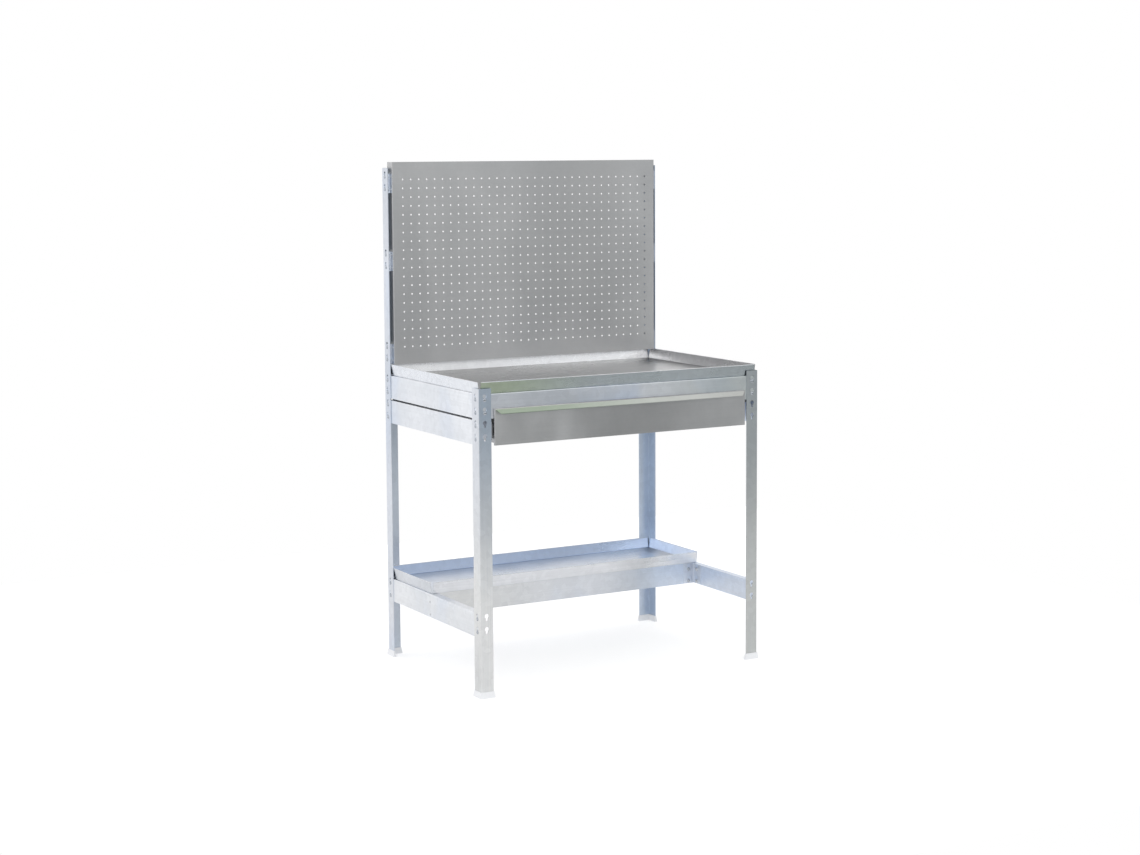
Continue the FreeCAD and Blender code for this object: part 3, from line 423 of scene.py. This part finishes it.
class Shape(Graph):
    """A geometry tree with named inputs, run on a small mesh of points or edges."""

    def __init__(self, name, sizes):
        tree = bpy.data.node_groups.new(name, "GeometryNodeTree")
        super().__init__(tree)
        self.sizes = sizes
        self.sockets = {}
        tree.interface.new_socket("Geometry", in_out="INPUT", socket_type="NodeSocketGeometry")
        for label, value in sizes.items():
            kind = "NodeSocketInt" if isinstance(value, int) else "NodeSocketFloat"
            self.sockets[label] = tree.interface.new_socket(label, in_out="INPUT",
                                                            socket_type=kind)
        tree.interface.new_socket("Geometry", in_out="OUTPUT",
                                  socket_type="NodeSocketGeometry")
        self.entry = tree.nodes.new("NodeGroupInput")
        self.exit = tree.nodes.new("NodeGroupOutput")
        self.start = Value(self, self.entry.outputs["Geometry"])

    def size(self, label):
        return Value(self, self.entry.outputs[label])

    def vector(self, x=0.0, y=0.0, z=0.0):
        return self.node("ShaderNodeCombineXYZ", {}, {"X": x, "Y": y, "Z": z})

    def join(self, *parts):
        made = self.tree.nodes.new("GeometryNodeJoinGeometry")
        for part in parts:
            self.tree.links.new(part.socket, made.inputs[0])
        return Value(self, made.outputs[0])

    def place(self, geometry, at=None, scale=None, turn=None):
        inputs = {"Geometry": geometry}
        for label, value in (("Translation", at), ("Scale", scale), ("Rotation", turn)):
            if value is not None:
                inputs[label] = value
        return self.node("GeometryNodeTransform", {}, inputs)

    def build(self, geometry, mesh, finish):
        """Runs the tree on mesh and returns the result as a plain object."""
        real = self.node("GeometryNodeRealizeInstances", {}, {"Geometry": geometry})
        real = self.node("GeometryNodeSetShadeSmooth", {}, {"Geometry": real})
        real = self.node("GeometryNodeSetMaterial", {}, {"Geometry": real, "Material": finish})
        self.tree.links.new(real.socket, self.exit.inputs[0])
        holder = bpy.data.objects.new(self.tree.name, mesh)
        bpy.context.scene.collection.objects.link(holder)
        modifier = holder.modifiers.new("shape", "NODES")
        modifier.node_group = self.tree
        for label, value in self.sizes.items():
            modifier[self.sockets[label].identifier] = value
        bpy.context.view_layer.update()
        graph = bpy.context.evaluated_depsgraph_get()
        result = bpy.data.meshes.new_from_object(holder.evaluated_get(graph))
        result.materials.clear()
        result.materials.append(finish)
        holder.modifiers.remove(modifier)
        holder.data = result
        return holder


def merged_copy(node):
    """A CAD node's mesh with its loose triangles welded together."""
    shell = bmesh.new()
    shell.from_mesh(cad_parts[node].data)
    bmesh.ops.remove_doubles(shell, verts=shell.verts, dist=0.002 * MM)
    return shell


def islands(node):
    """The separate solids of a node, each as a list of its corner points."""
    shell = merged_copy(node)
    left = set(shell.verts)
    found = []
    while left:
        group, queue = [], [left.pop()]
        while queue:
            corner = queue.pop()
            group.append(corner.co.copy())
            for edge in corner.link_edges:
                other = edge.other_vert(corner)
                if other in left:
                    left.remove(other)
                    queue.append(other)
        found.append(group)
    shell.free()
    return sorted(found, key=lambda group: tuple(round(v, 5) for v in group_middle(group)))


def group_middle(group):
    """The middle of the box round some points."""
    return [(min(p[k] for p in group) + max(p[k] for p in group)) / 2 for k in range(3)]


def stud_seats():
    """Where each stud head meets its post, the way it points, and its length."""
    seats = []
    for group in islands("keyhole_studs"):
        middle = group_middle(group)
        spans = [max(p[k] for p in group) - min(p[k] for p in group) for k in range(3)]
        axis = spans.index(min(spans))
        others = [k for k in range(3) if k != axis]

        def reach(sign):
            return max(math.hypot(*(p[k] - middle[k] for k in others)) for p in group
                       if (p[axis] - middle[axis]) * sign > 0)
        sign = 1 if reach(1) > reach(-1) else -1
        aim = [0.0, 0.0, 0.0]
        aim[axis] = float(sign)
        seat = list(middle)
        seat[axis] += sign * (spans[axis] / 2 - STUD_HEAD)
        seats.append((seat, aim, spans[axis] - STUD_HEAD))
    return seats


def keyhole_studs():
    """Domed stud heads with a shank and a spread tail, in the posts' keyholes."""
    seats = stud_seats()
    mesh = bpy.data.meshes.new("stud_seats")
    mesh.from_pydata([seat for seat, aim, length in seats], [], [])
    aims = mesh.attributes.new("aim", "FLOAT_VECTOR", "POINT")
    for entry, (seat, aim, length) in zip(aims.data, seats):
        entry.vector = aim
    grip = min(length for seat, aim, length in seats)
    g = Shape("keyhole_stud_heads", {"head_radius": 5.2 * MM, "head_height": STUD_HEAD,
                                     "shank_radius": 2.98 * MM, "grip": grip,
                                     "tail_radius": 4.4 * MM})
    flat = g.size("head_height") / g.size("head_radius")
    dome = g.node("GeometryNodeMeshUVSphere", {}, {"Segments": 24, "Rings": 12,
                                                   "Radius": g.size("head_radius")})
    dome = g.place(dome, scale=g.vector(1.0, 1.0, flat * 0.98))
    skirt = g.node("GeometryNodeMeshCone", {}, {
        "Vertices": 24, "Radius Top": g.size("head_radius") * 0.86,
        "Radius Bottom": g.size("head_radius") * 1.005, "Depth": g.size("head_height") * 0.55})
    shank = g.node("GeometryNodeMeshCylinder", {}, {
        "Vertices": 20, "Radius": g.size("shank_radius"), "Depth": g.size("grip")})
    shank = g.place(shank, at=g.vector(z=g.size("grip") * -0.5))
    tail = g.node("GeometryNodeMeshUVSphere", {}, {"Segments": 20, "Rings": 8,
                                                   "Radius": g.size("tail_radius")})
    tail = g.place(tail, at=g.vector(z=0.7 * MM - g.size("grip")),
                   scale=g.vector(1.0, 1.0, 0.16))
    aim = g.node("GeometryNodeInputNamedAttribute", {"data_type": "FLOAT_VECTOR"},
                 {"Name": "aim"})
    turn = g.node("FunctionNodeAlignRotationToVector", {"axis": "Z"}, {"Vector": aim})
    heads = g.node("GeometryNodeInstanceOnPoints", {}, {
        "Points": g.start, "Instance": g.join(dome, skirt, shank, tail), "Rotation": turn})
    piece = g.build(heads, mesh, stud_zinc)
    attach(piece, "frame")
    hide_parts("keyhole_studs")


def peg_hole_rims():
    """Thin pressed rim round each of the tool panel's peg holes."""
    low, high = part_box("tool_panel")
    rise = PEG_FIRST + (PEG_ROWS - 1) / 2 * PEG_PITCH
    middle = ((low[0] + high[0]) / 2, low[1], low[2] + rise)
    mesh = bpy.data.meshes.new("peg_holes")
    mesh.from_pydata([middle], [], [])
    g = Shape("peg_hole_rims", {"columns": PEG_COLUMNS, "rows": PEG_ROWS, "pitch": PEG_PITCH,
                                "rim_radius": 2.75 * MM, "rim_wire": 0.22 * MM})
    grid = g.node("GeometryNodeMeshGrid", {}, {
        "Size X": (g.size("columns") - 1) * g.size("pitch"),
        "Size Y": (g.size("rows") - 1) * g.size("pitch"),
        "Vertices X": g.size("columns"), "Vertices Y": g.size("rows")})
    ring = g.node("GeometryNodeCurvePrimitiveCircle", {}, {
        "Resolution": 14, "Radius": g.size("rim_radius")})
    wire = g.node("GeometryNodeCurvePrimitiveCircle", {}, {
        "Resolution": 4, "Radius": g.size("rim_wire")})
    rim = g.node("GeometryNodeCurveToMesh", {}, {"Curve": ring, "Profile Curve": wire})
    rims = g.node("GeometryNodeInstanceOnPoints", {}, {"Points": grid, "Instance": rim})
    rims = g.place(rims, turn=(math.pi / 2, 0.0, 0.0))
    rims = g.node("GeometryNodeInstanceOnPoints", {}, {"Points": g.start, "Instance": rims})
    piece = g.build(rims, mesh, panel_sheet)
    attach(piece, "frame")


def tray_lip_beads():
    """Rounded top edge of the lips of both trays."""
    corners = []
    wall, drop = 0.6 * MM, 0.55 * MM
    for node in ("worktop_tray", "lower_tray"):
        low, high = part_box(node)
        x = (low[0] + wall, high[0] - wall)
        y = (low[1] + wall, high[1] - wall)
        for place in x:
            corners += [(place, low[1] + LIP_END, high[2] - drop),
                        (place, high[1] - LIP_END, high[2] - drop)]
        for place in y:
            corners += [(low[0] + LIP_END, place, high[2] - drop),
                        (high[0] - LIP_END, place, high[2] - drop)]
    edges = [(k, k + 1) for k in range(0, len(corners), 2)]
    mesh = bpy.data.meshes.new("lip_lines")
    mesh.from_pydata(corners, edges, [])
    g = Shape("tray_lip_beads", {"bead_radius": 0.85 * MM, "sides": 10})
    line = g.node("GeometryNodeMeshToCurve", {}, {"Mesh": g.start})
    profile = g.node("GeometryNodeCurvePrimitiveCircle", {}, {
        "Resolution": g.size("sides"), "Radius": g.size("bead_radius")})
    bead = g.node("GeometryNodeCurveToMesh", {}, {
        "Curve": line, "Profile Curve": profile, "Fill Caps": True})
    piece = g.build(bead, mesh, bead_zinc)
    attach(piece, "frame")


def foot_caps():
    """Moulded caps with softened edges, in place of the sharp ones."""
    for front in ("front", "rear"):
        for side in (LEFT, RIGHT):
            node = "%s_%s_cap" % (front, side)
            shell = merged_copy(node)
            bmesh.ops.dissolve_limit(shell, angle_limit=FLAT_ANGLE, verts=shell.verts,
                                     edges=shell.edges)
            mesh = bpy.data.meshes.new("soft_" + node)
            shell.to_mesh(mesh)
            shell.free()
            mesh.materials.append(foot_plastic)
            piece = bpy.data.objects.new("soft_" + node, mesh)
            bpy.context.scene.collection.objects.link(piece)
            soft = piece.modifiers.new("softened", "BEVEL")
            soft.width = SOFT_EDGE
            soft.segments = 3
            soft.limit_method = "ANGLE"
            soft.angle_limit = EDGE_ANGLE
            soft.use_clamp_overlap = True
            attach(piece, "frame")
            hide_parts(node)


keyhole_studs()
peg_hole_rims()
tray_lip_beads()
foot_caps()


# ------------------------------------------------------------- stage and light

def soft_light(name, place, aim, size, power, colour=(1.0, 1.0, 1.0)):
    """A square area light of size metres at place, aimed at aim."""
    lamp = bpy.data.lights.new(name, "AREA")
    lamp.shape = "RECTANGLE"
    lamp.size = lamp.size_y = size
    lamp.energy = power
    lamp.color = colour
    holder = bpy.data.objects.new(name, lamp)
    holder.location = place
    holder.rotation_euler = (Vector(aim) - Vector(place)).to_track_quat("-Z", "Y").to_euler()
    bpy.context.scene.collection.objects.link(holder)


def studio_world():
    """Pale surroundings: white behind and to the left, cool grey to the front right."""
    world = bpy.data.worlds.new("studio")
    bpy.context.scene.world = world
    world.use_nodes = True
    g = Graph(world.node_tree)
    facing = g.node("ShaderNodeTexCoord", output="Generated")
    parts = g.node("ShaderNodeSeparateXYZ", {}, {"Vector": facing}, "X")
    to_right, to_rear, up = parts, parts.out("Y"), parts.out("Z")
    height = up * 0.5 + 0.5
    front = g.node("ShaderNodeValToRGB", {"stops": [
        (0.38, (0.37, 0.385, 0.37)), (0.47, (0.41, 0.43, 0.45)), (0.53, (0.62, 0.64, 0.68)),
        (0.60, (1.0, 1.0, 1.0)), (0.72, (0.9, 0.9, 0.9)), (0.90, (0.50, 0.51, 0.50))]},
        {"Fac": height})
    rear = g.node("ShaderNodeValToRGB", {"stops": [
        (0.40, (0.82, 0.84, 0.88)), (0.52, (1.0, 1.0, 1.0)), (0.75, (0.9, 0.9, 0.92)),
        (0.95, (0.6, 0.6, 0.62))]}, {"Fac": height})
    turned = to_rear * 0.80 - to_right * 0.60
    room = g.mix(turned.smooth(-0.9, 1.0), front, rear)
    seen = g.node("ShaderNodeLightPath", output="Is Camera Ray")
    room = g.mix(seen, room, (1.0, 1.0, 1.0))
    background = world.node_tree.nodes["Background"]
    g.feed(background.inputs["Color"], room)
    background.inputs["Strength"].default_value = 1.0


def pale_floor():
    """Matt paper floor, a little brighter to the camera than as a light."""
    size = 1.9
    mesh = bpy.data.meshes.new("floor")
    mesh.from_pydata([(-size, -size, 0), (size, -size, 0), (size, size, 0), (-size, size, 0)],
                     [], [(0, 1, 2, 3)])
    floor = bpy.data.objects.new("floor", mesh)
    bpy.context.scene.collection.objects.link(floor)
    f = Finish("floor_paper", Roughness=0.9, Specular_IOR_Level=0.1, Emission_Strength=1.0)
    seen = f.node("ShaderNodeLightPath", output="Is Camera Ray")
    f.use(Emission_Color=f.mix(seen, (0.20, 0.20, 0.20), (0.52, 0.52, 0.52)))
    mesh.materials.append(f.use(Base_Color=f.mix(f.noise(0.6), (0.79, 0.79, 0.79),
                                                 (0.81, 0.81, 0.81))))


studio_world()
pale_floor()
soft_light("key_left", (-4.5, 1.5, 3.2), (0, 0, 0.8), 3.0, 16, (1.0, 0.99, 0.97))
soft_light("top", (0.5, -0.5, 4.5), (0, 0, 0.6), 3.5, 30)
soft_light("camera_side", (-4.0, -5.5, 2.4), (0, 0, 0.6), 2.0, 35)
soft_light("front_fill", (3.5, -4.5, 2.5), (0, 0, 0.8), 2.5, 4, (0.85, 0.92, 1.0))


# --------------------------------------------------------------------- camera

def camera():
    """Three-quarter view from the front left, slightly above the worktop."""
    lens = bpy.data.cameras.new("camera")
    lens.sensor_width = 36.0
    lens.lens = 67.98
    lens.shift_x = -0.0351
    lens.shift_y = -0.0592
    lens.clip_end = 200.0
    holder = bpy.data.objects.new("camera", lens)
    yaw, pitch, roll = math.radians(30.36), math.radians(5.80), math.radians(-0.22)
    forward = Vector((math.sin(yaw) * math.cos(pitch), math.cos(yaw) * math.cos(pitch),
                      -math.sin(pitch)))
    right = forward.cross(Vector((0, 0, 1))).normalized()
    up = right.cross(forward)
    turn = Matrix((right, up, -forward)).transposed() @ Matrix.Rotation(roll, 3, "Z")
    holder.matrix_world = Matrix.LocRotScale(Vector((-3.0304, -5.3952, 1.5015)), turn, None)
    bpy.context.scene.collection.objects.link(holder)
    bpy.context.scene.camera = holder


camera()
bpy.context.scene.view_settings.view_transform = "Standard"
